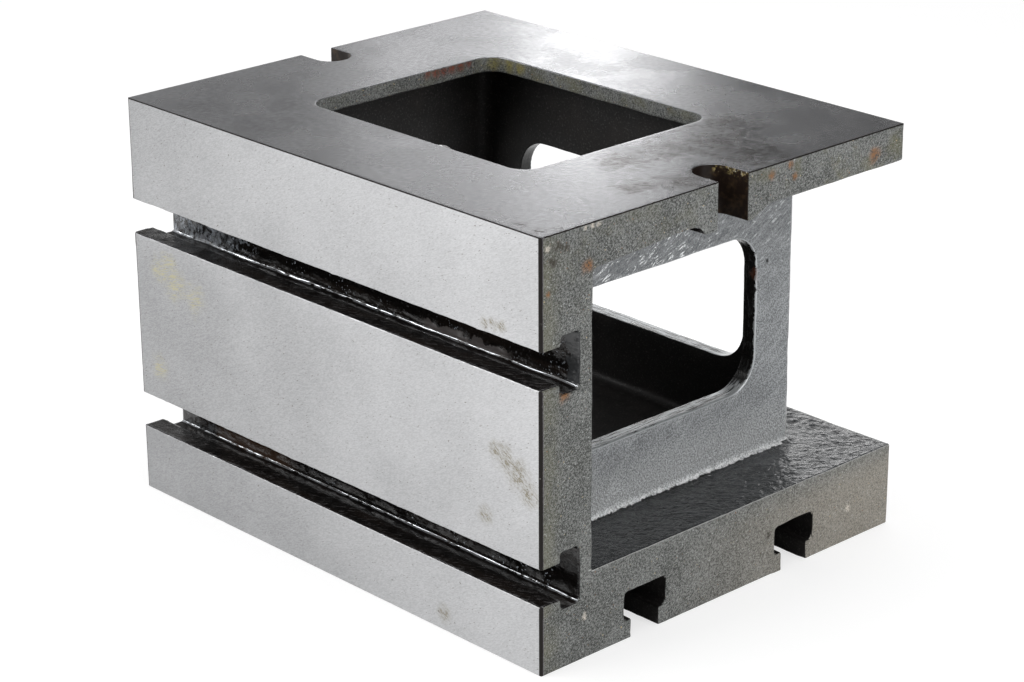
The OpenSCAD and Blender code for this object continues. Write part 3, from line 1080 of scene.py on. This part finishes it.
def castEndFinish(name, recipe):
    material, shader, place = newFinish(name, Metallic=0.5)
    x, y, z = xyz(place)
    sand = grain(place, recipe["sandSize"], 3, 0.72, recipe["sandTurn"])
    cloud = grain(place, 22, 3, 0.6)
    patches = grain(place, 20, 4, 0.6)
    glints = grain(place, 1.0, 2, 0.6)
    specks = grain(place, 2.4, 1, 0.5)
    scratched = grain(place, recipe["pitSize"], 3, 0.7, (35, 0, 0))
    # the tone grows lighter towards the rear as a painted reflection of the floor
    tone = plus(ramp(sand, 0.38, 0.63), ramp(cloud, 0.3, 0.7, -0.14, 0.14),
                times(y, recipe["paintedLightSlope"]))
    high = times(ramp(patches, 0.46, 0.7), ramp(z, 0.2, 0.3, 0.1, 1),
                 ramp(y, -0.1, 0.12, 0.25, 0.6))
    # low on the base's end, towards the rear: the cast's own tint and a painted floor reflection
    low = times(ramp(z, 0.07, 0.04), ramp(y, -0.08, 0.15, 0.0, 0.75),
                ramp(sand, 0.3, 0.6, 0.35, 1))
    fades, full = recipe["oliveCorner"]
    corner = times(ramp(y, frontY + fades * mm, frontY + full * mm),
                   ramp(cloud, 0.35, 0.6, 0.1, 0.45))
    # a painted highlight along the top edge of the base
    baseEdgeHighlight = times(wearAndHighlightEdges(place), ramp(z, baseZ - 1.6 * mm, baseZ - 0.8 * mm),
                     ramp(z, baseZ + 1.5 * mm, baseZ + 0.5 * mm))
    rust = times(blots(place, recipe["rustAt"]), ramp(sand, 0.40, 0.52), 0.95)
    flake = times(blots(place, recipe["flakeAt"], 0.8), ramp(sand, 0.38, 0.5))
    pit = times(blots(place, recipe["pitAt"], 0.8), ramp(scratched, 0.42, 0.50, 0.2, 1))
    red = times(blots(place, recipe["redAt"]), ramp(sand, 0.42, 0.56))
    yellow = times(blots(place, recipe["yellowAt"]), ramp(sand, 0.35, 0.55))
    colour = layered(blend(tone, recipe["dark"], recipe["light"]),
                     (high, recipe["olive"]),
                     (low, recipe["warmCastAndFloorReflection"]),
                     (corner, recipe["olive"]),
                     (ramp(glints, 0.64, 0.74), recipe["sparkle"]),
                     (ramp(specks, 0.735, 0.775, 0, 0.9), recipe["cream"]),
                     (ramp(specks, 0.25, 0.215, 0, 0.85), recipe["rust"]),
                     (rust, recipe["rust"]),
                     (flake, recipe["flake"]),
                     (pit, recipe["pit"]),
                     (red, recipe["red"]),
                     (yellow, recipe["yellow"]),
                     (baseEdgeHighlight, recipe["edge"]))
    connect(shader, colour, Roughness=ramp(sand, 0.3, 0.7, *recipe["roughness"]))
    bump(shader, sand, 0.55, 0.5)
    return material


silverWall = {
    "dark": (0.13, 0.136, 0.142),
    "light": (0.40, 0.415, 0.425),
    "sandSize": 1.15,
    "roughness": (0.36, 0.5),
    "foot": (0.86, 0.88, 0.89),
    "footFrom": (0.112, 0.060),    # the wall grows paler between these heights, in metres
    "smooth": ((0.06, 0.064, 0.07), (0.26, 0.27, 0.275)),
    # painted glints of the shiny paint, above the window
    "paintedGlintStreak": (0.90, 0.92, 0.93),
    "streakSize": (9, 9, 2.4),
    "streakTurn": (-26, 0, 0),
    "paintedGlintsFrom": 224 * mm,    # the painted glints, long pale streaks, lie above the window
    "paintedGlintsTo": (10 * mm, 60 * mm),
    # painted highlight on the top of the bead along the foot
    "paintedCrestHighlight": (0.93, 0.94, 0.94),
    "shadow": (0.012, 0.012, 0.012),
    # a small hole, shown only as a painted shadow spot
    "holeAt": [(157.5, 96.4, 205.2, 2.4)],
}


def silverWallFinish(name, recipe):
    material, shader, place = newFinish(name)
    x, y, z = xyz(place)
    sand = grain(place, recipe["sandSize"], 3, 0.7)
    cloud = grain(place, 34, 3, 0.6)
    brushed = grain(place, recipe["streakSize"], 5, 0.72, recipe["streakTurn"], warp=1.4)
    slanted = grain(place, (26, 26, 4), 4, 0.65, (-38, 0, 0), warp=0.3)
    tone = plus(ramp(cloud, 0.3, 0.7, -0.05, 0.11), ramp(sand, 0.38, 0.62, -0.2, 0.78),
                ramp(slanted, 0.36, 0.66, 0, 0.3))
    foot = blend(ramp(sand, 0.36, 0.64), tuple(0.32 * c for c in recipe["foot"]), recipe["foot"])
    smooth = blend(ramp(brushed, 0.36, 0.62), *recipe["smooth"])
    upper = ramp(z, recipe["paintedGlintsFrom"] - 60 * mm, recipe["paintedGlintsFrom"] + 20 * mm)
    forward = ramp(y, *recipe["paintedGlintsTo"], 1, 0.3)
    sparse = ramp(grain(place, 9, 3, 0.6), 0.45, 0.53, 0.05, 1)
    # painted glints: short bright streaks, mostly above the window
    streaks = times(ramp(brushed, 0.57, 0.61), plus(upper, 0.15), forward, sparse)
    # along the foot, a painted highlight on the top of the bead, with a painted shadow line under it
    uneven = plus(z, times(grain(place, 4.5, 4, 0.7), 5 * mm))
    broken = ramp(grain(place, 7, 3, 0.6), 0.40, 0.52, 0.1, 1)
    paintedCrestHighlight = times(ramp(uneven, baseZ + 6.4 * mm, baseZ + 5.4 * mm), broken,
                  ramp(sand, 0.36, 0.56, 0.35, 1))
    under = ramp(uneven, baseZ + 4.4 * mm, baseZ + 3.9 * mm)
    colour = layered(blend(tone, recipe["dark"], recipe["light"]),
                     (ramp(z, *recipe["footFrom"]), foot),
                     (times(upper, 0.6), smooth),
                     (streaks, recipe["paintedGlintStreak"]),
                     (paintedCrestHighlight, recipe["paintedCrestHighlight"]),
                     (blots(place, recipe["holeAt"], 0.5), recipe["shadow"]),
                     (under, recipe["shadow"]))
    connect(shader, colour, Roughness=ramp(sand, 0.3, 0.7, *recipe["roughness"]),
            Metallic=ramp(z, *recipe["footFrom"], 0.75, 0.35))
    lower = bump(shader, brushed, 0.35, 0.5)
    bump(shader, sand, 0.4, 0.35, lower)
    return material


blackSlot = {
    "paint": (0.0065, 0.0056, 0.0052),
    "brown": (0.016, 0.012, 0.010),
    # painted reflection on the ripples of the lips
    "paintedGlintStreak": (0.060, 0.056, 0.056),
    # painted glints of the light on the drops of paint
    "paintedGlint": (0.34, 0.37, 0.41),
    # bare metal on knocked edges, also a painted highlight along the lip edges
    "bare": (0.36, 0.36, 0.37),
    "thin": (0.045, 0.047, 0.049),    # the grey paint at the right end of the upper slot
    "silver": (0.23, 0.245, 0.265),   # the mottled left end of the upper slot: painted blurred highlights on its paint beads
    "film": (0.095, 0.085, 0.082),    # the brownish skin low on the upper slot's bottom
    "filmFrom": (58 * mm, 152 * mm),
    "rusty": (0.050, 0.030, 0.020),   # the brown patch in the lower slot
    "rustyFrom": (-172 * mm, -70 * mm),
    "bead": (0.62, 0.64, 0.67),       # thick paint in the corner, light grey and half metallic: a painted highlight line
    "beadSize": 1.7 * mm,
}


def blackSlotFinish(name, recipe):
    material, shader, place = newFinish(name, IOR=1.48)
    x, y, z = xyz(place)
    lowerLow, upperLow = [low - slots["headOver"] for low, high in frontMouths]
    bottom = times(ramp(y, slotBottomY - 2.2 * mm, slotBottomY - 1.2 * mm),
                   ramp(y, plateY - 2 * mm, plateY - 4 * mm))
    lip = ramp(y, slotBottomY - 14 * mm, slotBottomY - 17.2 * mm)
    brown = grain(place, (60, 9, 6), 3, 0.6)
    waves = grain(place, (8, 1.6, 1.2), 3, 0.65, (0, 0, -30), warp=0.8)
    drops = grain(place, 1.9, 1, 0.5)
    field = ramp(grain(place, 30, 2, 0.5), 0.44, 0.6)
    ragged = grain(place, 9, 4, 0.6)
    crown = plus(z, times(ragged, 20 * mm))
    low, high = recipe["filmFrom"]
    film = times(ramp(x, low, low + 12 * mm), ramp(x, high, high - 12 * mm),
                 ramp(crown, upperLow + 16.6 * mm, upperLow + 16 * mm),
                 ramp(z, upperLow - 3 * mm, upperLow - 2 * mm), bottom)
    low, high = recipe["rustyFrom"]
    rusty = times(ramp(x, low, low + 10 * mm), ramp(x, high, high - 30 * mm),
                  ramp(crown, lowerLow + 30 * mm, lowerLow + 28 * mm), bottom)
    rightEnd = plus(x, times(ragged, 26 * mm))
    thin = times(ramp(rightEnd, endX - 0.5 * mm, endX + 1.5 * mm),
                 ramp(z, 0.13, 0.15), bottom)
    # painted highlights: a silvery mottle at the left end of the upper slot
    leftEnd = plus(x, times(ragged, 60 * mm))
    blotchy = ramp(grain(place, 5.5, 4, 0.68), 0.38, 0.66)
    silver = times(ramp(leftEnd, -endX + 112 * mm, -endX + 84 * mm),
                   ramp(z, 0.12, 0.16, 0.2, 1), blotchy, plus(bottom, 0.12))
    # painted glints, thinning out to the right, on the upper slot's bottom
    leftHalf = plus(x, times(ragged, 80 * mm))
    spots = ramp(grain(place, 3.4, 3, 0.7), 0.56, 0.64)
    paintedGlintPatch = times(ramp(leftHalf, -endX + 170 * mm, -endX + 90 * mm),
                    ramp(z, 0.14, 0.16), bottom, spots)
    # a painted highlight line along the corner at the bottom of each slot
    size = recipe["beadSize"]
    bands = [times(ramp(z, level + size, level + 0.6 * size),
                   ramp(z, level - 1.5 * mm, level - mm)) for level in (upperLow, lowerLow)]
    broken = ramp(grain(place, (9, 4, 4), 3, 0.7), 0.42, 0.50)
    bead = times(highest(*bands), bottom, broken)
    nibble = ramp(grain(place, (7, 2, 2), 3, 0.65), 0.45, 0.6, 0.1, 0.8)
    colour = layered(blend(ramp(brown, 0.42, 0.7), recipe["paint"], recipe["brown"]),
                     # painted reflection of the light on the lips' ripples
                     (times(lip, ramp(waves, 0.55, 0.64)), recipe["paintedGlintStreak"]),
                     (times(bottom, field, ramp(drops, 0.66, 0.74)), recipe["paintedGlint"]),
                     (film, recipe["film"]),
                     (rusty, recipe["rusty"]),
                     (thin, recipe["thin"]),
                     (silver, recipe["silver"]),
                     (paintedGlintPatch, recipe["paintedGlint"]),
                     (bead, recipe["bead"]),
                     # knocked edges bare, also a painted highlight along the lips
                     (times(wearAndHighlightEdges(place), nibble), recipe["bare"]))
    connect(shader, colour, Roughness=ramp(silver, 0, 0.5, 0.12, 0.34),
            Metallic=times(bead, 0.7))
    ripple = grain(place, (22, 6, 6), 2, 0.5, warp=0.3)
    under = bump(shader, ripple, 0.35, 0.8)
    upper = bump(shader, waves, times(lip, 0.85), 0.4, under)
    bump(shader, ramp(drops, 0.5, 0.75), 0.25, 0.3, upper)
    return material


blackInside = {
    "paint": (0.008, 0.0072, 0.007),
    "dust": (0.018, 0.0155, 0.0145),
    "specks": (0.045, 0.042, 0.040),
    "roughness": (0.45, 0.6),
}


def blackInsideFinish(name, recipe):
    material, shader, place = newFinish(name, IOR=1.33)
    cloud = grain(place, 30, 4, 0.6)
    specks = grain(place, 1.6, 3, 0.7)
    colour = layered(blend(ramp(cloud, 0.45, 0.75), recipe["paint"], recipe["dust"]),
                     (ramp(specks, 0.54, 0.68), recipe["specks"]))
    connect(shader, colour, Roughness=ramp(cloud, 0.3, 0.7, *recipe["roughness"]))
    under = bump(shader, grain(place, 12, 2, 0.5, warp=0.5), 0.3, 1.0)
    bump(shader, grain(place, 2.2, 2, 0.6), 0.25, 0.3, under)
    return material


wrinkledBase = {
    "paint": (0.022, 0.0235, 0.0245),
    "light": (0.055, 0.058, 0.062),
    "lighterFrom": (20 * mm, 110 * mm),   # along the depth, towards the rear
    "roughness": (0.17, 0.21),
    "foldSize": (6.5, 6, 6),
    "fineSize": (4, 1.5, 2),
    "turn": (0, 0, -aslant),
}


def wrinkledBaseFinish(name, recipe):
    material, shader, place = newFinish(name, IOR=1.7)
    x, y, z = xyz(place)
    cloud = grain(place, 18, 3, 0.6)
    folds = grain(place, recipe["foldSize"], 2, 0.5, recipe["turn"], warp=1.0)
    fine = grain(place, recipe["fineSize"], 3, 0.6, recipe["turn"], warp=0.5)
    rear = ramp(y, *recipe["lighterFrom"], 0.0, 0.5)
    tone = plus(rear, ramp(cloud, 0.35, 0.7, 0, 0.4))
    connect(shader, blend(tone, recipe["paint"], recipe["light"]),
            Roughness=ramp(y, *recipe["lighterFrom"], *recipe["roughness"]))
    under = bump(shader, folds, 1.0, 2.2)
    bump(shader, fine, 0.7, 0.6, under)
    return material


windowCut = {
    "black": (0.008, 0.0075, 0.007),
    "dark": (0.06, 0.06, 0.062),
    "silver": (0.50, 0.52, 0.53),
    "layerSize": (2.2, 32, 6),     # of the streaks: through the wall, along it and upwards
    "roughness": (0.24, 0.42),
    "blemish": (0.10, 0.035, 0.02),
    "blemishAt": [(157, 84, 198, 7)],
}


def windowCutFinish(name, recipe):
    material, shader, place = newFinish(name, IOR=1.42)
    x, y, z = xyz(place)
    outward = highest(minus(unsigned(x), wallX), minus(y, wallY))
    ragged = grain(place, 4, 4, 0.65)
    rim = ramp(plus(outward, times(ragged, 5 * mm)), 0.9 * mm, 1.5 * mm)
    through, along, up = [1 / (size * mm) for size in recipe["layerSize"]]
    tree = material.node_tree
    layers = add(tree, "CombineXYZ", {0: times(outward, through), 1: times(plus(x, y), along),
                                      2: times(z, up)})
    streaks = add(tree, "TexNoise", {"Vector": layers.outputs[0], "Scale": 1.0, "Detail": 4.0,
                                     "Roughness": 0.65, "Distortion": 0.3}).outputs[0]
    sillZ = baseZ + windows["sill"]
    pale = times(ramp(z, sillZ + 7 * mm, sillZ + 3 * mm), ramp(streaks, 0.42, 0.56))
    shine = highest(rim, pale)
    colour = layered(blend(ramp(streaks, 0.5, 0.7, 0, 0.5), recipe["black"], recipe["dark"]),
                     (shine, recipe["silver"]),
                     (blots(place, recipe["blemishAt"], 0.8), recipe["blemish"]))
    connect(shader, colour, Roughness=ramp(shine, 0, 1, *recipe["roughness"]),
            Metallic=times(shine, 0.7))
    under = bump(shader, streaks, 0.4, 0.6)
    bump(shader, ragged, 0.25, 0.4, under)
    return material


notchBlack = {
    "paint": (0.014, 0.009, 0.007),
    "brown": (0.05, 0.032, 0.018),
    "gold": (0.42, 0.33, 0.14),
    "goldAt": [(207, 15, 298, 5), (200, 15, 298, 5), (193, 14, 298, 5), (186, 12, 298, 4)],
    "pale": (0.60, 0.60, 0.56),
}


def notchBlackFinish(name, recipe):
    material, shader, place = newFinish(name, Roughness=0.3, IOR=1.25)
    cloud = grain(place, 8, 4, 0.65)
    crumbs = grain(place, 2.6, 4, 0.7)
    glints = grain(place, 1.3, 2, 0.6)
    gold = times(blots(place, recipe["goldAt"]), ramp(crumbs, 0.5, 0.6))
    colour = layered(blend(ramp(cloud, 0.45, 0.7), recipe["paint"], recipe["brown"]),
                     (gold, recipe["gold"]),
                     (times(gold, ramp(glints, 0.62, 0.68)), recipe["pale"]))
    connect(shader, colour)
    bump(shader, cloud, 0.4, 1.0)
    return material


filedEdge = {
    "dark": (0.008, 0.0055, 0.0045),
    "darkWidth": 1.8 * mm,
    "grey": (0.15, 0.14, 0.15),
    "greyEnd": 3.4 * mm,
    "bright": (0.36, 0.34, 0.32),
}


# the filed corner: dark next to the front face, grey next to the end face
def filedEdgeFinish(name, recipe):
    material, shader, place = newFinish(name, Roughness=0.45, IOR=1.3)
    x, y, z = xyz(place)
    ragged = grain(place, 2.4, 4, 0.65)
    uneven = plus(y, times(ragged, 0.8 * mm))
    low, high = frontY + recipe["darkWidth"], frontY + recipe["greyEnd"]
    bare = times(ramp(uneven, low + 0.25 * mm, low + 0.6 * mm),
                 ramp(uneven, high + 0.6 * mm, high))
    colour = layered(blend(bare, recipe["dark"], recipe["grey"]),
                     (ramp(ragged, 0.66, 0.74, 0, 0.7), recipe["bright"]))
    connect(shader, colour, Metallic=times(bare, 0.4))
    bump(shader, ragged, 0.3, 0.3)
    return material


# the underside keeps the front's painted light slope, lighter to the right
groundFoot = dict(groundFront, light=(0.45, 0.45, 0.44), dull=(0.33, 0.33, 0.32),
                  oliveAt=[(-120, -60, 0, 40)], brownAt=[(90, 110, 0, 45), (150, -150, 0, 20)])

# in the order of the list of finishes above
materials = [groundFrontFinish("ground_front", groundFront),
             groundTopFinish("ground_top", groundTop),
             groundFrontFinish("ground_foot", groundFoot),
             castEndFinish("cast_end", castEnd),
             silverWallFinish("silver_wall", silverWall),
             blackSlotFinish("black_slot", blackSlot),
             blackInsideFinish("black_inside", blackInside),
             wrinkledBaseFinish("wrinkled_base", wrinkledBase),
             windowCutFinish("window_cut", windowCut),
             notchBlackFinish("notch_black", notchBlack),
             filedEdgeFinish("filed_edge", filedEdge)]
print("finishes:", len(materials))

# the record's material slots, and the members that take their finish from each
for node, member in members.items():
    member.name = node + "_cast"
    mesh = member.data
    mesh.name = member.name
    index = readArray(mesh.polygons, "material_index", 1, np.int32)
    used = sorted(set(index.tolist()))
    mesh.materials.clear()
    for i in used:
        mesh.materials.append(materials[i])
    mesh.polygons.foreach_set("material_index", np.searchsorted(used, index).astype(np.int32))
    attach(member, "root")
    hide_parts(node)
print("members dressed")

view = {  # the camera, from which the front, the right end and the top are seen
    "lens": 103.02,
    "place": (1.4295, -1.3392, 0.887),
    "heading": 46.8374,    # degrees
    "down": 21.1886,
    "roll": -0.316,
}
camera = bpy.data.cameras.new("photo_camera")
camera.lens = view["lens"]
camera.sensor_width = 36
cameraObject = linked("photo_camera", camera)
cameraObject.matrix_world = (Matrix.Translation(view["place"])
                             @ Matrix.Rotation(math.radians(view["heading"]), 4, "Z")
                             @ Matrix.Rotation(math.radians(90 - view["down"]), 4, "X")
                             @ Matrix.Rotation(math.radians(view["roll"]), 4, "Z"))
bpy.context.scene.camera = cameraObject

studio = {  # name: (place, width, height, watts)
    "front_softbox": ((-1.3, -2.6, 1.9), 2.2, 1.6, 42),
    "right_softbox": ((2.8, 0.3, 1.5), 1.6, 1.6, 30),
    "top_softbox": ((0.1, -0.1, 3.0), 2.4, 2.4, 22),
    "back_strip": ((-1.645, 1.735, 0.92), 0.235, 0.28, 0.66),
    "back_softbox": ((-1.77, 1.60, 0.96), 0.40, 0.36, 0.50),
    "back_card": ((-0.1, 0.45, 0.24), 0.5, 0.16, 0.40),
    "low_card": ((-0.12, 0.47, 0.125), 0.6, 0.09, 0.27),
    "slot_strip": ((-1.63, -1.39, 1.08), 0.5, 0.6, 8),
}
lampsAimAt = Vector((0, 0, 0.15))
for name, (spot, wideSide, highSide, watts) in studio.items():
    lamp = bpy.data.lights.new(name, "AREA")
    lamp.shape = "RECTANGLE"
    lamp.size = wideSide
    lamp.size_y = highSide
    lamp.energy = watts
    lampObject = linked(name, lamp)
    lampObject.location = spot
    lampObject.rotation_euler = (lampsAimAt - Vector(spot)).to_track_quat("-Z", "Y").to_euler()
    lampObject.visible_camera = False

backdrop = {
    "dim": 0.45,                 # the light that diffuse surfaces get from all round
    "horizon": (1.0, 0.05),      # white round the horizon, fading upwards
    "overhead": (0.22, 0.10),    # the grey that stays overhead, darker to the back right
    "floorWhite": 0.66,
    "floorReach": 30.0,
    "floorDrop": 0.1 * mm,
}


# 1 for what the camera, metal and glossy paint see, 0 for the light on diffuse surfaces
def seenByEye(tree):
    path = add(tree, "LightPath").outputs
    return highest(path["Is Camera Ray"], path["Is Glossy Ray"], path["Is Transmission Ray"])


world = bpy.data.worlds.new("studio")
world.use_nodes = True
bpy.context.scene.world = world
tree = world.node_tree
tree.nodes.clear()
sky = add(tree, "TexCoord").outputs["Generated"]
toBackRight = (math.sqrt(0.5), math.sqrt(0.5), 0)
aside = add(tree, "VectorMath", {0: sky, 1: toBackRight}, operation="DOT_PRODUCT").outputs["Value"]
ceiling = highest(ramp(xyz(sky)[2], 0.06, 0.19, *backdrop["horizon"]),
                  ramp(aside, -0.06, 0.10, *backdrop["overhead"]))
dim = add(tree, "Background", {"Color": (1, 1, 1, 1), "Strength": backdrop["dim"]})
white = add(tree, "Background", {"Color": (1, 1, 1, 1), "Strength": ceiling})
mixed = add(tree, "MixShader", {0: seenByEye(tree), 1: dim.outputs[0], 2: white.outputs[0]})
add(tree, "OutputWorld", {"Surface": mixed.outputs[0]})

reach = backdrop["floorReach"]
floorMesh = bpy.data.meshes.new("studio_floor")
floorMesh.from_pydata([(-reach, -reach, 0), (reach, -reach, 0), (reach, reach, 0), (-reach, reach, 0)], [],
                      [(0, 1, 2, 3)])
floor = linked("studio_floor", floorMesh)
floor.location.z = -backdrop["floorDrop"]
floorPaint = bpy.data.materials.new("studio_floor")
floorPaint.use_nodes = True
tree = floorPaint.node_tree
tree.nodes.clear()
plain = add(tree, "BsdfDiffuse", {"Color": (0.8, 0.8, 0.8, 1)})
shaded = add(tree, "BsdfDiffuse", {"Color": (0.42, 0.42, 0.42, 1)})
x, y, z = xyz(add(tree, "TexCoord").outputs["Object"])
# the floor glows white, but not under the box, where the slots would reflect it; the dark patch left there is
# painted shadow
notCamera = minus(1.0, add(tree, "LightPath").outputs["Is Camera Ray"])
beneath = times(ramp(unsigned(x), endX, endX - 6 * mm),
                ramp(unsigned(y), rearY, rearY - 6 * mm), notCamera)
strength = times(minus(1.0, beneath), backdrop["floorWhite"])
glow = add(tree, "Emission", {"Color": (1, 1, 1, 1), "Strength": strength})
seen = add(tree, "AddShader", {0: shaded.outputs[0], 1: glow.outputs[0]})
mixed = add(tree, "MixShader", {0: seenByEye(tree), 1: plain.outputs[0], 2: seen.outputs[0]})
add(tree, "OutputMaterial", {"Surface": mixed.outputs[0]})
floorMesh.materials.append(floorPaint)

bpy.context.scene.view_settings.view_transform = "Standard"
print("studio ready")
